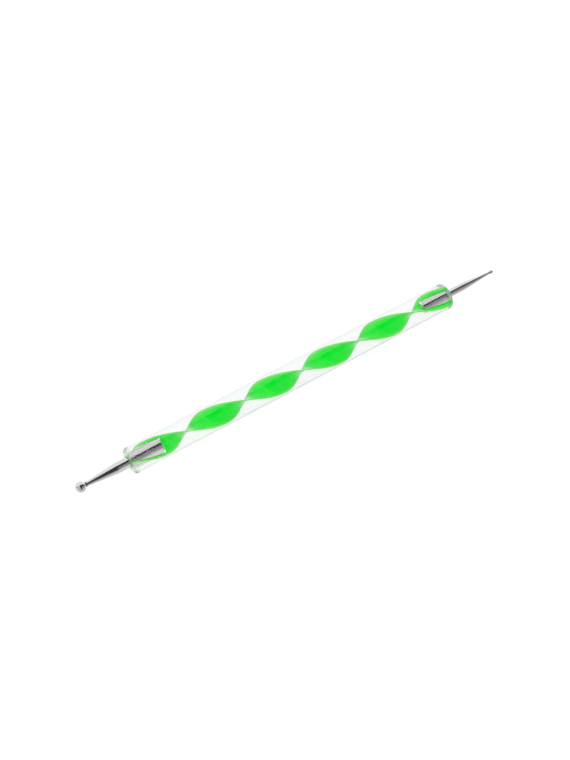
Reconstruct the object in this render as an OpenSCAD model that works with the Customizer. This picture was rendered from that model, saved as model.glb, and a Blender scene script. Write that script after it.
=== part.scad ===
// Double-ended embossing stylus: a clear acrylic rod with a twisted green ribbon cast along its axis,
// and a steel shank with a ball in each end. The stylus lies along X, with its large ball at -X.
// The origin is on the axis, at the middle of the length. All sizes are in millimetres.

/* [Handle] */
// Diameter of the clear rod
handle_d = 7.5; // [7:0.1:12]
// Length of the clear rod, from end face to end face
handle_l = 102.5; // [80:0.5:140]
// Radius of the rounded edge of each end face
handle_round = 1.1; // [0.3:0.1:1.5]

/* [Ribbon] */
// Width of the green ribbon
ribbon_w = 4.1; // [3.6:0.05:5]
// Thickness of the green ribbon
ribbon_t = 0.35; // [0.2:0.05:0.8]
// Length of rod in which the ribbon makes half a turn
ribbon_half_turn = 18.25; // [10:0.05:40]
// Angle of the ribbon at the large ball's end face, from +Y towards +Z, in degrees
ribbon_angle = 133; // [0:1:180]

/* [Both ends] */
// Length of the taper of each shank
taper_l = 9; // [6:0.1:10.5]
// Thickness of the adhesive film around each shank
glue_t = 0.075; // [0.05:0.005:0.1]
// Thickness of the adhesive between a shank's end and the bottom of its bore
glue_end_t = 0.2; // [0.1:0.05:0.5]
// Bevel around the inner end of each shank
shank_bevel = 0.15; // [0.05:0.05:0.3]

/* [Large end] */
// Length that stands out of the large end's face, up to the tip of the ball
large_stick_out = 15.7; // [14:0.1:22]
// Length of the large shank inside the rod
large_insert_l = 9.5; // [6:0.1:14]
// Diameter of the large ball
large_ball_d = 3; // [2.5:0.1:4]
// Diameter of the large shank
large_shank_d = 3; // [2.2:0.1:3.2]
// Diameter of the large shank's neck, behind the ball
large_neck_d = 1.3; // [0.8:0.05:1.5]
// Height of the large braze ring above the neck
large_braze_t = 0.25; // [0.1:0.05:0.45]
// Length of the large braze ring along the neck
large_braze_l = 0.35; // [0.2:0.05:0.6]

/* [Small end] */
// Length that stands out of the small end's face, up to the tip of the ball
small_stick_out = 16.2; // [14:0.1:22]
// Length of the small shank inside the rod
small_insert_l = 9; // [6:0.1:14]
// Diameter of the small ball
small_ball_d = 1.2; // [1:0.1:2.4]
// Diameter of the small shank
small_shank_d = 2.2; // [1.6:0.1:2.6]
// Diameter of the small shank's neck, behind the ball
small_neck_d = 0.65; // [0.4:0.05:0.7]
// Height of the small braze ring above the neck
small_braze_t = 0.12; // [0.05:0.01:0.14]
// Length of the small braze ring along the neck
small_braze_l = 0.2; // [0.1:0.05:0.4]

/* [Hidden] */

$fn = 96;

// Height of a braze ring's thin edge above the neck
braze_edge = 0.03;
// Turn of the ribbon from one slice to the next, in degrees
slice_turn = 7.5;
// Edges around one slice of the ribbon
strip_segments = 4;
// The whole turn of the ribbon, and its slices
ribbon_turn = 180 * handle_l / ribbon_half_turn;
ribbon_slices = ceil(ribbon_turn / slice_turn);
slice_l = handle_l / ribbon_slices;
// Where the rod's end faces lie along X, with the whole length centred on the origin
whole_l = large_stick_out + handle_l + small_stick_out;
large_face = large_stick_out - whole_l / 2;
small_face = whole_l / 2 - small_stick_out;

acrylic = [0.9, 0.95, 0.95, 0.3];
ribbon_green = [0.02, 0.9, 0.12];
adhesive = [0.85, 0.88, 0.85, 0.4];
steel = [0.75, 0.75, 0.77];
braze_grey = [0.4, 0.38, 0.36];

// Height of a ball's centre above its end face
function ball_z(ball_d, stick_out) = stick_out - ball_d / 2;
// Height at which a neck meets its ball
function neck_z(ball_d, neck_d, stick_out) =
    ball_z(ball_d, stick_out) - sqrt(pow(ball_d / 2, 2) - pow(neck_d / 2, 2));

// The two ends share one frame: z is 0 at the end face and grows out of the rod
module at_large_end() translate([large_face, 0, 0]) rotate([0, -90, 0]) children();
module at_small_end() translate([small_face, 0, 0]) rotate([0, 90, 0]) children();

module rod() {
    r = handle_d / 2;
    translate([large_face, 0, 0])
        rotate([0, 90, 0])
            rotate_extrude() {
                square([r - handle_round, handle_l]);
                translate([0, handle_round]) square([r, handle_l - 2 * handle_round]);
                for (z = [handle_round, handle_l - handle_round])
                    translate([r - handle_round, z]) circle(r = handle_round);
            }
}

// Twisted strip along the rod, with a number of slices more past each end face
module twisted_strip(more) {
    count = ribbon_slices + 2 * more;
    turn = ribbon_turn * count / ribbon_slices;
    first_angle = ribbon_angle - ribbon_turn * more / ribbon_slices;
    translate([large_face - slice_l * more, 0, 0])
        rotate([0, 90, 0])
            rotate(first_angle)
                linear_extrude(
                    height = slice_l * count, twist = -turn, slices = count, segments = strip_segments
                )
                    square([ribbon_t, ribbon_w], center = true);
}

// Everything that fills a bore, which is also the bore itself
module bore(shank_d, insert_l) {
    depth = insert_l + glue_end_t;
    translate([0, 0, -depth]) cylinder(h = depth, d = shank_d + 2 * glue_t);
}

// A bore that also clears its end face
module open_bore(shank_d, insert_l) {
    bore(shank_d, insert_l);
    cylinder(h = handle_round, d = shank_d + 2 * glue_t);
}

module both_bores() {
    at_large_end() open_bore(large_shank_d, large_insert_l);
    at_small_end() open_bore(small_shank_d, small_insert_l);
}

module ball(ball_d, stick_out) translate([0, 0, ball_z(ball_d, stick_out)]) sphere(d = ball_d);

module shank(shank_d, neck_d, ball_d, braze_l, stick_out, insert_l) {
    taper_end = neck_z(ball_d, neck_d, stick_out) - braze_l;
    difference() {
        rotate_extrude()
            polygon([
                [0, -insert_l],
                [shank_d / 2 - shank_bevel, -insert_l],
                [shank_d / 2, shank_bevel - insert_l],
                [shank_d / 2, taper_end - taper_l],
                [neck_d / 2, taper_end],
                [neck_d / 2, ball_z(ball_d, stick_out)],
                [0, ball_z(ball_d, stick_out)],
            ]);
        ball(ball_d, stick_out);
    }
}

module glue(shank_d, neck_d, ball_d, braze_l, stick_out, insert_l) {
    difference() {
        bore(shank_d, insert_l);
        shank(shank_d, neck_d, ball_d, braze_l, stick_out, insert_l);
    }
}

module braze(neck_d, ball_d, braze_t, braze_l, stick_out) {
    ring_start = neck_z(ball_d, neck_d, stick_out) - braze_l;
    difference() {
        rotate_extrude()
            polygon([
                [neck_d / 2, ring_start],
                [neck_d / 2 + braze_edge, ring_start],
                [neck_d / 2 + braze_t, ring_start + braze_l],
                [neck_d / 2 + braze_t, ball_z(ball_d, stick_out)],
                [neck_d / 2, ball_z(ball_d, stick_out)],
            ]);
        ball(ball_d, stick_out);
    }
}

module handle() {
    color(acrylic)
        difference() {
            rod();
            twisted_strip(1);
            both_bores();
        }
}

module ribbon() {
    color(ribbon_green)
        difference() {
            twisted_strip(0);
            both_bores();
        }
}

module large_glue()
    color(adhesive)
        at_large_end()
            glue(large_shank_d, large_neck_d, large_ball_d, large_braze_l, large_stick_out, large_insert_l);

module large_shank()
    color(steel)
        at_large_end()
            shank(large_shank_d, large_neck_d, large_ball_d, large_braze_l, large_stick_out, large_insert_l);

module large_braze()
    color(braze_grey)
        at_large_end()
            braze(large_neck_d, large_ball_d, large_braze_t, large_braze_l, large_stick_out);

module large_ball() color(steel) at_large_end() ball(large_ball_d, large_stick_out);

module small_glue()
    color(adhesive)
        at_small_end()
            glue(small_shank_d, small_neck_d, small_ball_d, small_braze_l, small_stick_out, small_insert_l);

module small_shank()
    color(steel)
        at_small_end()
            shank(small_shank_d, small_neck_d, small_ball_d, small_braze_l, small_stick_out, small_insert_l);

module small_braze()
    color(braze_grey)
        at_small_end()
            braze(small_neck_d, small_ball_d, small_braze_t, small_braze_l, small_stick_out);

module small_ball() color(steel) at_small_end() ball(small_ball_d, small_stick_out);

handle();
ribbon();
large_glue();
large_shank();
large_braze();
large_ball();
small_glue();
small_shank();
small_braze();
small_ball();
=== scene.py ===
"""A double-ended embossing stylus: a clear acrylic rod, a twisted green ribbon cast in it, and steel tips."""

import math
from functools import partial

import bmesh
import bpy
from bpy.props import FloatProperty, FloatVectorProperty, IntProperty, PointerProperty
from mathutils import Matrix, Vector


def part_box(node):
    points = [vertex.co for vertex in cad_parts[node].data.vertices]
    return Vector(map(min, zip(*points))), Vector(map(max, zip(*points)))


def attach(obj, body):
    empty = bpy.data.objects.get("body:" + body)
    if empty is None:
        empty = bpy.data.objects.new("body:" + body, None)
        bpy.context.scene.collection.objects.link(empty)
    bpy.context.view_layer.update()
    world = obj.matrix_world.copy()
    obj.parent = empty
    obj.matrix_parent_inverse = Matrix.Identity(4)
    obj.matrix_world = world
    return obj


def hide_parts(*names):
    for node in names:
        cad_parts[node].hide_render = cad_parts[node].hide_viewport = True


bl_info = {
    "name": "Embossing stylus",
    "version": (1, 0, 0),
    "blender": (4, 5, 0),
    "location": "View3D > Sidebar > Stylus",
    "description": "Makes the clear rod, the ribbon, the steel tips and the stage of an embossing stylus",
    "category": "Object",
}

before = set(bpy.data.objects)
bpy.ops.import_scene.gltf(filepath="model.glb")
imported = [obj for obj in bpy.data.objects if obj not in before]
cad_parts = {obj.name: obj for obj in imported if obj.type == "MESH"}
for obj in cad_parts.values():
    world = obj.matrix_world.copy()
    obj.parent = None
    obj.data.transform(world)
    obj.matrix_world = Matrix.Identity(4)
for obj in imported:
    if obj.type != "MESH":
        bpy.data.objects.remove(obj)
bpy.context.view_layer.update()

MM = 0.001
# The name of each end and its direction along X
ENDS = (("large", -1), ("small", 1))

# Depths under the wall of each bore: the film lies just inside the wall and the steel just inside the film.
# Along the steel the acrylic reaches in further than both, so that no gap of air shows.
FILM_DEPTH = 0.005 * MM
STEEL_DEPTH = 0.015 * MM
ACRYLIC_DEPTH = 0.04 * MM
# How far the hidden sides of the film and the braze reach into the steel
FILM_TUCK = 0.01 * MM
BRAZE_TUCK = 0.02 * MM
BRAZE_REACH = 0.1 * MM

# Steps along the finer curves, and around the drills that cut the ribbon
RIM_STEPS = 16
BRAZE_STEPS = 8
BEAD_STEPS = 6
DRILL_STEPS = 96
# Vertices across the ribbon's width and through its thickness
RIBBON_ACROSS = 15
RIBBON_THROUGH = 3
# The share of its thickness that the ribbon loses at its very edges, and how suddenly it does
EDGE_THINNING = 0.6
EDGE_POWER = 8.0

# How bright the floor shows. Its glow is even to the eye. What polished steel mirrors has a painted darker
# front with a brighter patch, a painted reflection, and what clear plastic bends the view to has a painted
# darker back, a painted shade. Each edge is the stretch over which the level changes.
FLOOR_LEVEL = 0.88
FLOOR_SHADOW = (0.15, 0.15, 0.15)
PAINTED_FRONT_LEVEL = 0.42
FRONT_EDGE = (-11 * MM, -1 * MM)
PAINTED_PATCH_LEVEL = 0.9
PATCH_X = -38 * MM
PATCH_EDGE = (8 * MM, 22 * MM)
PAINTED_BACK_SHADE = 0.6
BACK_EDGE = (6 * MM, 16 * MM)

# The studio as polished surfaces mirror it. Sides run from -1 at the left to 1 at the right. Lifts are
# angles about the X axis: 0 at the front horizon, 90 degrees overhead and 180 at the back horizon.
# Each row of greys holds a side and a grey.
WALL = ((-1.0, 0.65), (-0.45, 0.65), (-0.3, 0.012), (0.09, 0.012), (0.17, 0.3), (0.62, 0.25))
FOOT = ((-1.0, 0.65), (-0.1, 0.4), (0.06, 0.35), (0.2, 0.72), (0.3, 0.72), (0.43, 0.45))
FOOT_LIFT = (0.0, math.radians(30))
SHELF = (0.012, 0.012, 0.013)
SHELF_SIDE = (0.08, 0.15)
SHELF_LIFT = (math.radians(58), math.radians(64))
CEILING = (1.0, 1.0, 1.0)
CEILING_LIFT = (math.radians(97), math.radians(101))
CEILING_LEFT = (0.38, 0.38, 0.39)
CEILING_LEFT_SIDE = (-0.86, -0.76)
# The studio as all else sees it: white, with a low skirting at its back that clear plastic shows
PALE = (1.28, 1.28, 1.28)
SKIRTING = (0.6, 0.61, 0.63)
SKIRTING_BACK = (0.5, 0.8)
SKIRTING_HEIGHT = (0.0, 0.25)


def nearest_drawn(length):
    """A length in metres to the nearest 0.05 mm, the step in which the CAD was drawn."""
    return round(length / MM / 0.05) * 0.05 * MM


def node_size(node, axis):
    """A CAD node's length along an axis, as it was drawn."""
    low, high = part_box(node)
    return nearest_drawn(high[axis] - low[axis])


def node_radius(node):
    """The radius about X of a CAD node, as it was drawn."""
    return node_size(node, 1) / 2


def node_middle(node):
    """The middle of a CAD node along X, as it was drawn."""
    low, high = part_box(node)
    return nearest_drawn((low.x + high.x) / 2)


def node_ends(node, sign):
    """The inner and the outer end along X of a CAD node at the end with that sign."""
    low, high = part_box(node)
    return (high.x, low.x) if sign < 0 else (low.x, high.x)


def end_face(rod, sign):
    """Where one end face of the rod lies along X."""
    return rod.middle + sign * rod.length / 2


# Settings


class StylusRod(bpy.types.PropertyGroup):
    """Sizes and finish of the clear rod"""

    diameter: FloatProperty(
        name="Diameter",
        description="Outer diameter of the clear rod",
        default=node_size("handle", 1),
        unit="LENGTH",
    )
    length: FloatProperty(
        name="Length",
        description="Length of the clear rod from face to face",
        default=node_size("handle", 0),
        unit="LENGTH",
    )
    middle: FloatProperty(
        name="Middle",
        description="Where the rod's middle lies along the axis",
        default=node_middle("handle"),
        unit="LENGTH",
    )
    end_round: FloatProperty(
        name="End rounding",
        description="Radius of the rounded edge of each end face",
        default=1.1 * MM,
        unit="LENGTH",
    )
    tint: FloatVectorProperty(
        name="Acrylic tint",
        description="Tint of the clear acrylic",
        default=(0.985, 0.99, 0.995),
        subtype="COLOR",
    )
    steps: IntProperty(name="Steps around", description="Faces around the rod", default=192)


class StylusRibbon(bpy.types.PropertyGroup):
    """Sizes and colours of the twisted ribbon"""

    width: FloatProperty(
        name="Width", description="Width of the ribbon", default=4.1 * MM, unit="LENGTH"
    )
    thickness: FloatProperty(
        name="Thickness", description="Thickness of the ribbon", default=0.35 * MM, unit="LENGTH"
    )
    half_turn: FloatProperty(
        name="Half turn",
        description="Length of rod in which the ribbon makes half a turn",
        default=18.25 * MM,
        unit="LENGTH",
    )
    start_angle: FloatProperty(
        name="Start angle",
        description="Angle of the ribbon at the large ball's end face, from +Y towards +Z",
        default=math.radians(133),
        subtype="ANGLE",
    )
    steps: IntProperty(name="Steps", description="Slices along the ribbon", default=560)
    core_colour: FloatVectorProperty(
        name="Core colour",
        description="Colour of the ribbon's middle",
        default=(0.0, 0.98, 0.03),
        subtype="COLOR",
    )
    # The lighter edges are partly the film's own colour where it thins and partly painted sheen
    edge_colour_and_sheen: FloatVectorProperty(
        name="Edge colour",
        description="Colour of the ribbon's thinner edges",
        default=(0.36, 1.0, 0.21),
        subtype="COLOR",
    )


class StylusSteel(bpy.types.PropertyGroup):
    """Sizes and finish of the steel tips"""

    taper: FloatProperty(
        name="Taper", description="Length of each shank's taper", default=9.0 * MM, unit="LENGTH"
    )
    bevel: FloatProperty(
        name="Bevel",
        description="Bevel around each shank's inner end",
        default=0.15 * MM,
        unit="LENGTH",
    )
    large_neck: FloatProperty(
        name="Large neck",
        description="Diameter of the neck behind the large ball",
        default=1.3 * MM,
        unit="LENGTH",
    )
    small_neck: FloatProperty(
        name="Small neck",
        description="Diameter of the neck behind the small ball",
        default=0.65 * MM,
        unit="LENGTH",
    )
    blend: FloatProperty(
        name="Blend",
        description="Length over which each shank rounds into its taper, to each side",
        default=0.5 * MM,
        unit="LENGTH",
    )
    bead: FloatProperty(
        name="Adhesive bead",
        description="Size of the adhesive's bead at the mouth of each bore",
        default=0.16 * MM,
        unit="LENGTH",
    )
    colour: FloatVectorProperty(
        name="Steel colour",
        description="Colour of the polished steel",
        default=(0.75, 0.74, 0.73),
        subtype="COLOR",
    )
    steps: IntProperty(name="Steps around", description="Faces around each shank", default=96)


class StylusStage(bpy.types.PropertyGroup):
    """Camera and floor"""

    azimuth: FloatProperty(
        name="Azimuth",
        description="Camera's turn about the vertical",
        default=math.radians(-33.15),
        subtype="ANGLE",
    )
    elevation: FloatProperty(
        name="Elevation",
        description="Camera's height above the horizon",
        default=math.radians(53.5),
        subtype="ANGLE",
    )
    distance: FloatProperty(
        name="Distance",
        description="Distance from the camera to its target",
        default=431.0 * MM,
        unit="LENGTH",
    )
    target: FloatVectorProperty(
        name="Target",
        description="Point that the camera looks at",
        default=(-3.11 * MM, -0.02 * MM, 0.0),
        subtype="XYZ",
        unit="LENGTH",
    )
    lens: FloatProperty(
        name="Lens", description="Camera's focal length", default=75.79, unit="CAMERA"
    )
    floor_size: FloatProperty(
        name="Floor size", description="Width of the floor", default=4.0, unit="LENGTH"
    )


class StylusSettings(bpy.types.PropertyGroup):
    """All of the stylus's settings"""

    rod: PointerProperty(type=StylusRod)
    ribbon: PointerProperty(type=StylusRibbon)
    steel: PointerProperty(type=StylusSteel)
    stage: PointerProperty(type=StylusStage)


# Meshes turned about the stylus's axis


def arc(centre_x, centre_r, radius, start, end, steps):
    """Points (x, r) on an arc. Angles are in degrees, from +X towards +r."""
    points = []
    for i in range(steps + 1):
        angle = math.radians(start + (end - start) * i / steps)
        points.append((centre_x + radius * math.cos(angle), centre_r + radius * math.sin(angle)))
    return points


def hollow(foot, top, steps):
    """Points (x, r) on a hollow quarter curve that leaves its foot along the axis and rises to its top."""
    (foot_x, foot_r), (top_x, top_r) = foot, top
    points = []
    for i in range(steps + 1):
        angle = math.pi / 2 * i / steps
        x = foot_x + (top_x - foot_x) * math.sin(angle)
        points.append((x, top_r - (top_r - foot_r) * math.cos(angle)))
    return points


def turned(name, outline, steps, closed=False):
    """A smooth mesh turned about the X axis from (x, r) points. A closed outline makes a ring."""
    bm = bmesh.new()
    turns = [math.tau * k / steps for k in range(steps)]
    rings = []
    for x, r in outline:
        if r == 0:
            rings.append([bm.verts.new((x, 0, 0))])
        else:
            rings.append([bm.verts.new((x, r * math.cos(t), r * math.sin(t))) for t in turns])
    pairs = list(zip(rings, rings[1:]))
    if closed:
        pairs.append((rings[-1], rings[0]))
    for one, two in pairs:
        for k in range(steps):
            n = (k + 1) % steps
            corners = [one[k % len(one)], two[k % len(two)], two[n % len(two)], one[n % len(one)]]
            bm.faces.new(list(dict.fromkeys(corners)))
    bmesh.ops.recalc_face_normals(bm, faces=bm.faces)
    mesh = bpy.data.meshes.new(name)
    bm.to_mesh(mesh)
    bm.free()
    mesh.shade_smooth()
    mesh.set_sharp_from_angle(angle=math.radians(30))
    piece = bpy.data.objects.new(name, mesh)
    bpy.context.scene.collection.objects.link(piece)
    return piece


def place(piece, material, node):
    """Gives a finished piece its material and slot, and lets it stand for a CAD node."""
    piece.data.materials.clear()
    piece.data.materials.append(material)
    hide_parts(node)
    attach(piece, "root")


# Steps that the node trees share


def fill(tree, sockets, values):
    """Links or sets each socket in turn, and leaves it alone where the value is None."""
    for socket, value in zip(sockets, values):
        if isinstance(value, bpy.types.NodeSocket):
            tree.links.new(value, socket)
        elif value is not None:
            socket.default_value = value


def calculated(tree, operation, *values):
    """A sum or other operation on values and sockets."""
    node = tree.nodes.new("ShaderNodeMath")
    node.operation = operation
    fill(tree, node.inputs, values)
    return node.outputs[0]


def joined(tree, *values):
    """A vector of three values or sockets."""
    node = tree.nodes.new("ShaderNodeCombineXYZ")
    fill(tree, node.inputs, values)
    return node.outputs[0]


def parts_of(tree, vector):
    """The sockets X, Y and Z of a vector, by name."""
    node = tree.nodes.new("ShaderNodeSeparateXYZ")
    tree.links.new(vector, node.inputs[0])
    return node.outputs


def rotated(tree, vector, angle):
    """A vector turned about the X axis."""
    node = tree.nodes.new("ShaderNodeVectorRotate")
    node.rotation_type = "X_AXIS"
    tree.links.new(vector, node.inputs["Vector"])
    tree.links.new(angle, node.inputs["Angle"])
    return node.outputs["Vector"]


def ranged(tree, source, low, high, from_low=0.0, from_high=1.0, rise="LINEAR"):
    """A value moved from one range to another."""
    node = tree.nodes.new("ShaderNodeMapRange")
    node.interpolation_type = rise
    node.inputs["From Min"].default_value = from_low
    node.inputs["From Max"].default_value = from_high
    node.inputs["To Min"].default_value = low
    node.inputs["To Max"].default_value = high
    tree.links.new(source, node.inputs["Value"])
    return node.outputs["Result"]


def soft_step(tree, source, start, end):
    """0 up to the start and 1 past the end, with a smooth rise between them."""
    return ranged(tree, source, 0.0, 1.0, start, end, "SMOOTHSTEP")


def mixed_value(tree, share, one, two):
    """One value where the share is 0 and the other where it is 1."""
    node = tree.nodes.new("ShaderNodeMix")
    fill(tree, node.inputs, (share, None, one, two))
    return node.outputs["Result"]


def mixed_colour(tree, share, one, two):
    """One colour where the share is 0 and the other where it is 1. Each is a socket or three numbers."""
    node = tree.nodes.new("ShaderNodeMix")
    node.data_type = "RGBA"
    sockets = [node.inputs[name] for name in ("Factor", "A", "B")]
    colours = [c if isinstance(c, bpy.types.NodeSocket) else (*c, 1) for c in (one, two)]
    fill(tree, sockets, (share, *colours))
    return node.outputs["Result"]


# Materials


def new_material(name):
    """A new material, its node tree and its shader."""
    material = bpy.data.materials.new(name)
    material.use_nodes = True
    tree = material.node_tree
    return material, tree, tree.nodes["Principled BSDF"]


def own_place(tree):
    """The object's own coordinates."""
    return tree.nodes.new("ShaderNodeTexCoord").outputs["Object"]


def noise(tree, vector, scale, detail, stretch=(1, 1, 1)):
    """Noise on a vector that is first stretched along the axes."""
    mapping = tree.nodes.new("ShaderNodeMapping")
    mapping.inputs["Scale"].default_value = stretch
    tree.links.new(vector, mapping.inputs["Vector"])
    texture = tree.nodes.new("ShaderNodeTexNoise")
    texture.inputs["Scale"].default_value = scale
    texture.inputs["Detail"].default_value = detail
    tree.links.new(mapping.outputs["Vector"], texture.inputs["Vector"])
    return texture.outputs["Fac"]


def bumped(tree, height, distance, strength, shader):
    """Gives the shader a bump that follows a height."""
    bump = tree.nodes.new("ShaderNodeBump")
    bump.inputs["Distance"].default_value = distance
    bump.inputs["Strength"].default_value = strength
    tree.links.new(height, bump.inputs["Height"])
    tree.links.new(bump.outputs["Normal"], shader.inputs["Normal"])


def clear_acrylic(rod):
    """Clear cast acrylic with the faint waves of a drawn rod, and matt on its rounded rims."""
    material, tree, shader = new_material("clear_acrylic")
    shader.inputs["Base Color"].default_value = (*rod.tint, 1)
    shader.inputs["Roughness"].default_value = 0.0
    shader.inputs["IOR"].default_value = 1.49
    shader.inputs["Transmission Weight"].default_value = 1.0
    from_middle = calculated(tree, "SUBTRACT", parts_of(tree, own_place(tree))["X"], rod.middle)
    along = calculated(tree, "ABSOLUTE", from_middle)
    half, soft = rod.length / 2, rod.end_round
    rim = ranged(tree, along, 0.0, 0.4, half - 1.5 * soft, half - 0.8 * soft)
    tree.links.new(rim, shader.inputs["Roughness"])
    waves = noise(tree, own_place(tree), 420, 1, (0.12, 1, 1))
    bumped(tree, waves, 0.02 * MM, 0.06, shader)
    return material


def ribbon_green(ribbon, rod):
    """Opaque green film: deeper in the middle and lighter towards its thinner edges, the lighter edges partly
    painted sheen, with faint drawn lines.
    """
    material, tree, shader = new_material("ribbon_green")
    shader.inputs["Roughness"].default_value = 0.12
    shader.inputs["IOR"].default_value = 1.4
    shader.inputs["Sheen Weight"].default_value = 1.0
    shader.inputs["Sheen Roughness"].default_value = 0.28

    # The twist is taken back out of the coordinates, so that Y runs across the flat strip
    where = own_place(tree)
    rate = math.pi / ribbon.half_turn
    start = ribbon.start_angle + rate * (rod.length / 2 - rod.middle)
    turn = calculated(tree, "MULTIPLY_ADD", parts_of(tree, where)["X"], -rate, -start)
    flat = rotated(tree, where, turn)

    # The lighter edge, partly painted sheen, wanders with the drawn lines
    across = calculated(tree, "ABSOLUTE", parts_of(tree, flat)["Y"])
    lines = noise(tree, flat, 1.0, 3.0, (40, 1800, 400))
    wander = ranged(tree, lines, -0.35 * MM, 0.35 * MM)
    edge = calculated(tree, "ADD", across, wander)
    rise = ranged(tree, edge, 0, 1, ribbon.width * 0.28, ribbon.width * 0.5)
    share = calculated(tree, "POWER", rise, 3.0)
    colour = mixed_colour(tree, share, ribbon.core_colour, ribbon.edge_colour_and_sheen)
    tree.links.new(colour, shader.inputs["Base Color"])
    bumped(tree, lines, 0.01 * MM, 0.3, shader)
    return material


def polished_steel(steel):
    """Turned and polished steel, with fine rings around the axis and a slightly uneven polish."""
    material, tree, shader = new_material("polished_steel")
    shader.inputs["Metallic"].default_value = 1.0
    stains = noise(tree, own_place(tree), 900, 4)
    stained = [c * 0.9 for c in steel.colour]
    tree.links.new(mixed_colour(tree, stains, stained, steel.colour), shader.inputs["Base Color"])
    rings = noise(tree, own_place(tree), 9000, 2, (1, 0.02, 0.02))
    tree.links.new(ranged(tree, rings, 0.1, 0.22), shader.inputs["Roughness"])
    bumped(tree, rings, 0.004 * MM, 0.25, shader)
    return material


def braze_metal():
    """Dull braze, darkened by its heat."""
    material, tree, shader = new_material("braze_metal")
    shader.inputs["Metallic"].default_value = 1.0
    shader.inputs["Roughness"].default_value = 0.42
    blotches = noise(tree, own_place(tree), 3500, 4)
    colour = mixed_colour(tree, blotches, (0.1, 0.09, 0.08), (0.34, 0.31, 0.27))
    tree.links.new(colour, shader.inputs["Base Color"])
    bumped(tree, blotches, 0.02 * MM, 0.5, shader)
    return material


def cured_adhesive():
    """Clear adhesive, so close to the acrylic that only its haze and small bubbles show."""
    material, tree, shader = new_material("cured_adhesive")
    shader.inputs["Base Color"].default_value = (0.72, 0.76, 0.74, 1)
    shader.inputs["Roughness"].default_value = 0.3
    shader.inputs["Specular IOR Level"].default_value = 0.0
    bubbles = noise(tree, own_place(tree), 2600, 3)
    tree.links.new(ranged(tree, bubbles, 0.02, 0.3, 0.5, 0.75), shader.inputs["Alpha"])
    return material


# Pieces


class STYLUS_OT_rod(bpy.types.Operator):
    """Make the clear rod with its rounded ends and blind bores"""

    bl_idname = "stylus.rod"
    bl_label = "Clear rod"

    def execute(self, context):
        settings = context.scene.stylus
        rod = settings.rod
        radius, soft = rod.diameter / 2, rod.end_round
        outline = []
        for end, sign in ENDS:
            bottom, _ = node_ends(f"{end}_glue", sign)
            inner, _ = node_ends(f"{end}_shank", sign)
            wetted_from = inner + sign * settings.steel.bevel
            bore = node_radius(f"{end}_glue")
            wetted = bore - ACRYLIC_DEPTH
            face = end_face(rod, sign)
            points = [
                (bottom, 0),
                (bottom, bore),
                (wetted_from, bore),
                (wetted_from, wetted),
                (face, wetted),
            ]
            outward = 180 if sign < 0 else 0
            points += arc(face - sign * soft, radius - soft, soft, outward, 90, RIM_STEPS)
            outline += points if sign < 0 else points[::-1]
        piece = turned("handle_rod", outline, rod.steps)
        place(piece, clear_acrylic(rod), "handle")
        return {"FINISHED"}


class STYLUS_OT_ribbon(bpy.types.Operator):
    """Make the twisted green ribbon, cut by the two bores"""

    bl_idname = "stylus.ribbon"
    bl_label = "Twisted ribbon"

    def execute(self, context):
        settings = context.scene.stylus
        ribbon, rod = settings.ribbon, settings.rod
        host = bpy.data.objects.new("ribbon_host", bpy.data.meshes.new("ribbon_host"))
        context.scene.collection.objects.link(host)
        tree = ribbon_tree(ribbon.steps)
        modifier = host.modifiers.new("Ribbon", "NODES")
        modifier.node_group = tree
        values = {
            "Length": rod.length,
            "Middle": rod.middle,
            "Width": ribbon.width,
            "Thickness": ribbon.thickness,
            "Half Turn": ribbon.half_turn,
            "Start Angle": ribbon.start_angle,
            "Large Bore Radius": node_radius("large_glue"),
            "Small Bore Radius": node_radius("small_glue"),
            "Large Bore Depth": node_size("large_glue", 0),
            "Small Bore Depth": node_size("small_glue", 0),
            "Material": ribbon_green(ribbon, rod),
        }
        for item in tree.interface.items_tree:
            if item.in_out == "INPUT":
                modifier[item.identifier] = values[item.name]
        graph = context.evaluated_depsgraph_get()
        mesh = bpy.data.meshes.new_from_object(host.evaluated_get(graph), depsgraph=graph)
        bpy.data.objects.remove(host)
        mesh.name = "ribbon_strip"
        mesh.set_sharp_from_angle(angle=math.radians(40))
        piece = bpy.data.objects.new("ribbon_strip", mesh)
        context.scene.collection.objects.link(piece)
        place(piece, values["Material"], "ribbon")
        return {"FINISHED"}


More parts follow.
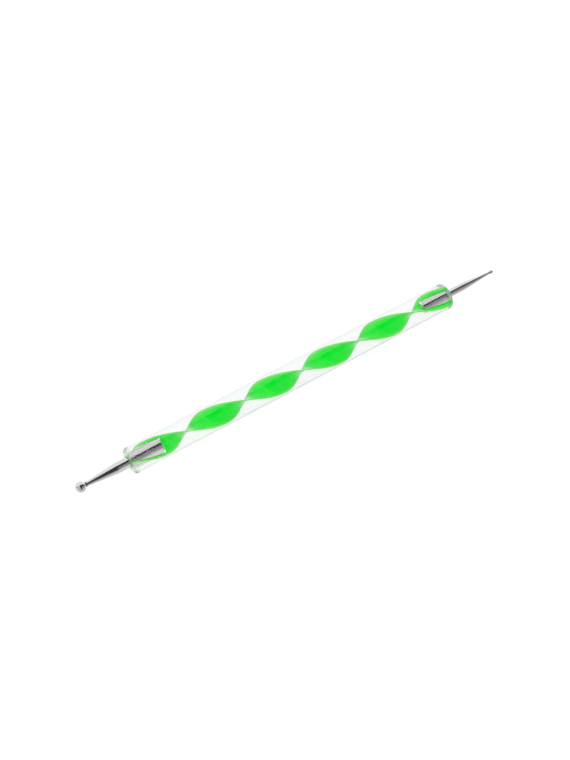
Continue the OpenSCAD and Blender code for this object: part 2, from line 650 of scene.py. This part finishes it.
def ribbon_tree(steps):
    """Geometry Nodes: a flat strip, thinner at its edges, twisted about X and cut by two bores."""
    tree = bpy.data.node_groups.new("Twisted ribbon", "GeometryNodeTree")
    for name in (
        "Length",
        "Middle",
        "Width",
        "Thickness",
        "Half Turn",
        "Start Angle",
        "Large Bore Radius",
        "Small Bore Radius",
        "Large Bore Depth",
        "Small Bore Depth",
    ):
        tree.interface.new_socket(name, in_out="INPUT", socket_type="NodeSocketFloat")
    tree.interface.new_socket("Material", in_out="INPUT", socket_type="NodeSocketMaterial")
    tree.interface.new_socket("Geometry", in_out="OUTPUT", socket_type="NodeSocketGeometry")
    nodes, links = tree.nodes, tree.links
    given = nodes.new("NodeGroupInput").outputs
    calc = partial(calculated, tree)

    strip = nodes.new("GeometryNodeMeshCube")
    strip.inputs["Vertices X"].default_value = steps
    strip.inputs["Vertices Y"].default_value = RIBBON_ACROSS
    strip.inputs["Vertices Z"].default_value = RIBBON_THROUGH
    links.new(joined(tree, given["Length"], given["Width"], given["Thickness"]), strip.inputs["Size"])

    where = parts_of(tree, nodes.new("GeometryNodeInputPosition").outputs[0])
    across = calc("DIVIDE", calc("ABSOLUTE", where["Y"]), given["Width"])
    near_edge = calc("POWER", calc("MULTIPLY", across, 2.0), EDGE_POWER)
    kept = calc("SUBTRACT", 1.0, calc("MULTIPLY", near_edge, EDGE_THINNING))
    height = calc("MULTIPLY", where["Z"], kept)
    along = calc("ADD", where["X"], calc("DIVIDE", given["Length"], 2.0))
    turns = calc("DIVIDE", along, given["Half Turn"])
    angle = calc("MULTIPLY_ADD", turns, math.pi, given["Start Angle"])
    moved_x = calc("ADD", where["X"], given["Middle"])
    bend = nodes.new("GeometryNodeSetPosition")
    links.new(strip.outputs["Mesh"], bend.inputs["Geometry"])
    twisted = rotated(tree, joined(tree, moved_x, where["Y"], height), angle)
    links.new(twisted, bend.inputs["Position"])

    bores = nodes.new("GeometryNodeJoinGeometry")
    for end, sign in ENDS:
        drill = nodes.new("GeometryNodeMeshCylinder")
        drill.inputs["Vertices"].default_value = DRILL_STEPS
        links.new(given[f"{end.title()} Bore Radius"], drill.inputs["Radius"])
        links.new(calc("MULTIPLY", given[f"{end.title()} Bore Depth"], 2.0), drill.inputs["Depth"])
        moved = nodes.new("GeometryNodeTransform")
        moved.inputs["Rotation"].default_value = (0, math.pi / 2, 0)
        links.new(drill.outputs["Mesh"], moved.inputs["Geometry"])
        face = calc("MULTIPLY_ADD", given["Length"], sign / 2, given["Middle"])
        links.new(joined(tree, face, 0, 0), moved.inputs["Translation"])
        links.new(moved.outputs["Geometry"], bores.inputs[0])
    cut = nodes.new("GeometryNodeMeshBoolean")
    cut.operation = "DIFFERENCE"
    cut.solver = "MANIFOLD"
    links.new(bend.outputs["Geometry"], cut.inputs["Mesh 1"])
    links.new(bores.outputs["Geometry"], cut.inputs["Mesh 2"])
    smooth = nodes.new("GeometryNodeSetShadeSmooth")
    links.new(cut.outputs["Mesh"], smooth.inputs["Geometry"])
    real = nodes.new("GeometryNodeRealizeInstances")
    links.new(smooth.outputs["Geometry"], real.inputs["Geometry"])
    paint = nodes.new("GeometryNodeSetMaterial")
    links.new(real.outputs["Geometry"], paint.inputs["Geometry"])
    links.new(given["Material"], paint.inputs["Material"])
    out = nodes.new("NodeGroupOutput")
    links.new(paint.outputs["Geometry"], out.inputs[0])
    return tree


class STYLUS_OT_shanks(bpy.types.Operator):
    """Turn the two steel shanks"""

    bl_idname = "stylus.shanks"
    bl_label = "Shanks"

    def execute(self, context):
        settings = context.scene.stylus
        steel = settings.steel
        metal = polished_steel(steel)
        for end, sign in ENDS:
            inner, outer = node_ends(f"{end}_shank", sign)
            taper_end, _ = node_ends(f"{end}_braze", sign)
            taper_start = taper_end - sign * steel.taper
            radius = node_radius(f"{end}_shank")
            seated = node_radius(f"{end}_glue") - STEEL_DEPTH
            neck = getattr(steel, f"{end}_neck") / 2
            slope = (radius - neck) / steel.taper
            face = end_face(settings.rod, sign)
            outline = [
                (inner, 0),
                (inner, seated - steel.bevel),
                (inner + sign * steel.bevel, seated),
                (face, seated),
                (face, radius),
                (taper_start - sign * steel.blend, radius),
                (taper_start, radius - slope * steel.blend / 4),
                (taper_start + sign * steel.blend, radius - slope * steel.blend),
                (taper_end, neck),
                (outer, neck),
                (outer + sign * neck, 0),
            ]
            piece = turned(f"{end}_shank_turned", outline, steel.steps)
            place(piece, metal, f"{end}_shank")
        return {"FINISHED"}


class STYLUS_OT_balls(bpy.types.Operator):
    """Make the two steel balls"""

    bl_idname = "stylus.balls"
    bl_label = "Balls"

    def execute(self, context):
        steel = context.scene.stylus.steel
        metal = bpy.data.materials.get("polished_steel") or polished_steel(steel)
        for end, sign in ENDS:
            centre = sum(node_ends(f"{end}_ball", sign)) / 2
            radius = node_radius(f"{end}_ball")
            outline = arc(centre, 0, radius, 0, 180, steel.steps // 2)
            outline[0], outline[-1] = (centre + radius, 0), (centre - radius, 0)
            piece = turned(f"{end}_ball_round", outline, steel.steps)
            place(piece, metal, f"{end}_ball")
        return {"FINISHED"}


class STYLUS_OT_braze(bpy.types.Operator):
    """Make the hollow-sided braze rings between the balls and their necks"""

    bl_idname = "stylus.braze"
    bl_label = "Braze rings"

    def execute(self, context):
        steel = context.scene.stylus.steel
        metal = braze_metal()
        for end, sign in ENDS:
            start, stop = node_ends(f"{end}_braze", sign)
            neck = getattr(steel, f"{end}_neck") / 2
            under = neck - BRAZE_TUCK
            outline = hollow((start, neck), (stop, node_radius(f"{end}_braze")), BRAZE_STEPS)
            outline += [(stop + sign * BRAZE_REACH, under), (start, under)]
            piece = turned(f"{end}_braze_ring", outline, steel.steps, closed=True)
            place(piece, metal, f"{end}_braze")
        return {"FINISHED"}


class STYLUS_OT_glue(bpy.types.Operator):
    """Make the two adhesive films with their small beads at the mouths of the bores"""

    bl_idname = "stylus.glue"
    bl_label = "Adhesive films"

    def execute(self, context):
        steel = context.scene.stylus.steel
        material = cured_adhesive()
        for end, sign in ENDS:
            bottom, mouth = node_ends(f"{end}_glue", sign)
            inner, _ = node_ends(f"{end}_shank", sign)
            bore = node_radius(f"{end}_glue") - FILM_DEPTH
            shank = node_radius(f"{end}_shank")
            under = shank - FILM_TUCK
            lip = mouth + sign * steel.bead
            outline = [
                (bottom - sign * FILM_TUCK, 0),
                (bottom - sign * FILM_TUCK, bore),
                (mouth, bore),
                *reversed(hollow((lip, shank), (mouth, shank + steel.bead), BEAD_STEPS)),
                (lip, under),
                (inner + sign * steel.bevel, under),
                (inner - sign * FILM_TUCK, under - steel.bevel),
                (inner - sign * FILM_TUCK, 0),
            ]
            piece = turned(f"{end}_glue_film", outline, steel.steps)
            place(piece, material, f"{end}_glue")
        return {"FINISHED"}


# Stage


def seen_rays(tree):
    """1 for rays from the camera, reflections and clear plastic, and 0 for light on the object."""
    path = tree.nodes.new("ShaderNodeLightPath").outputs
    either = calculated(tree, "MAXIMUM", path["Is Camera Ray"], path["Is Glossy Ray"])
    return calculated(tree, "MAXIMUM", either, path["Is Transmission Ray"])


def mirrored_rays(tree):
    """1 for what polished surfaces mirror to the eye, and 0 for everything else."""
    path = tree.nodes.new("ShaderNodeLightPath").outputs
    one_or_two_mirrors = calculated(tree, "COMPARE", path["Glossy Depth"], 1.5, 0.6)
    before_paint = calculated(tree, "LESS_THAN", path["Diffuse Depth"], 0.5)
    return calculated(tree, "MULTIPLY", one_or_two_mirrors, before_paint)


def refracted_rays(tree):
    """1 for rays that have just left clear plastic, and 0 for everything else."""
    return tree.nodes.new("ShaderNodeLightPath").outputs["Is Transmission Ray"]


def floor_material():
    """White floor: evenly bright to the eye and white paint to the light, with a painted darker front and
    brighter patch that only polished steel mirrors, and a painted darker back, painted shade, that only clear
    plastic shows.
    """
    material, tree, paint = new_material("white_floor")
    paint.inputs["Base Color"].default_value = (0.92, 0.92, 0.92, 1)
    paint.inputs["Roughness"].default_value = 0.9
    paint.inputs["Specular IOR Level"].default_value = 0.0

    # Painted reflection: polished steel sees the floor darker in front, with a brighter patch. Painted shade:
    # clear plastic sees it darker at the back.
    where = parts_of(tree, own_place(tree))
    off_patch = calculated(tree, "ABSOLUTE", calculated(tree, "SUBTRACT", where["X"], PATCH_X))
    front = ranged(tree, off_patch, PAINTED_PATCH_LEVEL, PAINTED_FRONT_LEVEL, *PATCH_EDGE)
    ahead = mixed_value(tree, ranged(tree, where["Y"], 0.0, 1.0, *FRONT_EDGE), front, 1.0)
    mirrored = mixed_value(tree, mirrored_rays(tree), 1.0, ahead)
    back = ranged(tree, where["Y"], 1.0, PAINTED_BACK_SHADE, *BACK_EDGE)
    refracted = mixed_value(tree, refracted_rays(tree), 1.0, back)
    level = calculated(tree, "MULTIPLY", mirrored, refracted)

    nodes, links = tree.nodes, tree.links
    glow = nodes.new("ShaderNodeEmission")
    links.new(ranged(tree, level, 0.0, FLOOR_LEVEL), glow.inputs["Strength"])
    shadow = nodes.new("ShaderNodeBsdfDiffuse")
    shadow.inputs["Color"].default_value = (*FLOOR_SHADOW, 1)
    shown = nodes.new("ShaderNodeAddShader")
    links.new(shadow.outputs[0], shown.inputs[0])
    links.new(glow.outputs[0], shown.inputs[1])
    mix = nodes.new("ShaderNodeMixShader")
    links.new(seen_rays(tree), mix.inputs["Fac"])
    links.new(paint.outputs[0], mix.inputs[1])
    links.new(shown.outputs[0], mix.inputs[2])
    links.new(mix.outputs[0], nodes["Material Output"].inputs["Surface"])
    return material


def greys_across(tree, side, greys):
    """A row of slightly cool greys across the studio, from pairs of a side and a grey."""
    ramp = tree.nodes.new("ShaderNodeValToRGB")
    tree.links.new(calculated(tree, "MULTIPLY_ADD", side, 0.5, 0.5), ramp.inputs["Fac"])
    stops = ramp.color_ramp.elements
    while len(stops) < len(greys):
        stops.new(1.0)
    for stop, (x, grey) in zip(stops, greys):
        stop.position = x * 0.5 + 0.5
        stop.color = (grey, grey, grey * 1.03, 1)
    return ramp.outputs["Color"]


def studio_world():
    """A pale studio. Polished surfaces see its ceiling and its darker front, and all else sees white."""
    world = bpy.data.worlds.new("studio")
    world.use_nodes = True
    tree = world.node_tree
    calc = partial(calculated, tree)
    rise = partial(soft_step, tree)
    mixed = partial(mixed_colour, tree)
    way = parts_of(tree, tree.nodes.new("ShaderNodeTexCoord").outputs["Generated"])
    side = way["X"]
    lift = calc("ARCTAN2", way["Z"], calc("MULTIPLY", way["Y"], -1.0))

    foot, wall = greys_across(tree, side, FOOT), greys_across(tree, side, WALL)
    front = mixed(rise(lift, *FOOT_LIFT), foot, wall)
    shelf = calc("MULTIPLY", rise(side, *SHELF_SIDE), rise(lift, *SHELF_LIFT))
    front = mixed(shelf, front, SHELF)
    left = calc("SUBTRACT", 1.0, rise(side, *CEILING_LEFT_SIDE))
    ceiling = mixed(left, CEILING, CEILING_LEFT)
    room = mixed(rise(lift, *CEILING_LIFT), front, ceiling)
    # Below the back horizon the lift starts again from -180 degrees, and the ceiling goes on
    room = mixed(calc("LESS_THAN", lift, math.radians(-90)), room, ceiling)

    low = calc("SUBTRACT", 1.0, rise(way["Z"], *SKIRTING_HEIGHT))
    back_low = calc("MULTIPLY", rise(way["Y"], *SKIRTING_BACK), low)
    plain = mixed(calc("MULTIPLY", back_low, refracted_rays(tree)), PALE, SKIRTING)

    background = tree.nodes["Background"]
    tree.links.new(mixed(mirrored_rays(tree), plain, room), background.inputs["Color"])
    background.inputs["Strength"].default_value = 1.0
    return world


class STYLUS_OT_stage(bpy.types.Operator):
    """Make the floor, the studio and the camera"""

    bl_idname = "stylus.stage"
    bl_label = "Stage"

    def execute(self, context):
        scene = context.scene
        stage, rod = scene.stylus.stage, scene.stylus.rod
        half = stage.floor_size / 2
        level = -rod.diameter / 2
        corners = [(-half, -half), (half, -half), (half, half), (-half, half)]
        mesh = bpy.data.meshes.new("floor")
        mesh.from_pydata([(x, y, level) for x, y in corners], [], [(0, 1, 2, 3)])
        mesh.materials.append(floor_material())
        floor = bpy.data.objects.new("floor", mesh)
        scene.collection.objects.link(floor)
        scene.world = studio_world()

        a, e = stage.azimuth, stage.elevation
        back = Vector((math.sin(a) * math.cos(e), -math.cos(a) * math.cos(e), math.sin(e)))
        camera = bpy.data.objects.new("camera", bpy.data.cameras.new("camera"))
        camera.data.lens = stage.lens
        camera.data.clip_start = 0.01
        camera.data.clip_end = 10
        camera.location = Vector(stage.target) + back * stage.distance
        camera.rotation_mode = "QUATERNION"
        camera.rotation_quaternion = (-back).to_track_quat("-Z", "Y")
        scene.collection.objects.link(camera)
        scene.camera = camera

        # Light runs along the clear rod from end to end before it leaves it
        scene.cycles.max_bounces = 64
        scene.cycles.diffuse_bounces = 8
        scene.cycles.glossy_bounces = 48
        scene.view_settings.view_transform = "Standard"
        return {"FINISHED"}


class STYLUS_PT_panel(bpy.types.Panel):
    """The stylus's settings and makers"""

    bl_idname = "STYLUS_PT_panel"
    bl_label = "Embossing stylus"
    bl_space_type = "VIEW_3D"
    bl_region_type = "UI"
    bl_category = "Stylus"

    def draw(self, context):
        settings = context.scene.stylus
        for group in (settings.rod, settings.ribbon, settings.steel, settings.stage):
            box = self.layout.box()
            for name in group.__annotations__:
                box.prop(group, name)
        for maker in MAKERS:
            self.layout.operator(maker.bl_idname)


MAKERS = (
    STYLUS_OT_rod,
    STYLUS_OT_ribbon,
    STYLUS_OT_shanks,
    STYLUS_OT_balls,
    STYLUS_OT_braze,
    STYLUS_OT_glue,
    STYLUS_OT_stage,
)
GROUPS = (StylusRod, StylusRibbon, StylusSteel, StylusStage, StylusSettings)


def register():
    for cls in (*GROUPS, *MAKERS, STYLUS_PT_panel):
        bpy.utils.register_class(cls)
    bpy.types.Scene.stylus = PointerProperty(type=StylusSettings)


def unregister():
    del bpy.types.Scene.stylus
    for cls in reversed((*GROUPS, *MAKERS, STYLUS_PT_panel)):
        bpy.utils.unregister_class(cls)


def main():
    register()
    bpy.ops.stylus.rod()
    bpy.ops.stylus.ribbon()
    bpy.ops.stylus.shanks()
    bpy.ops.stylus.balls()
    bpy.ops.stylus.braze()
    bpy.ops.stylus.glue()
    bpy.ops.stylus.stage()


if __name__ == "__main__":
    main()
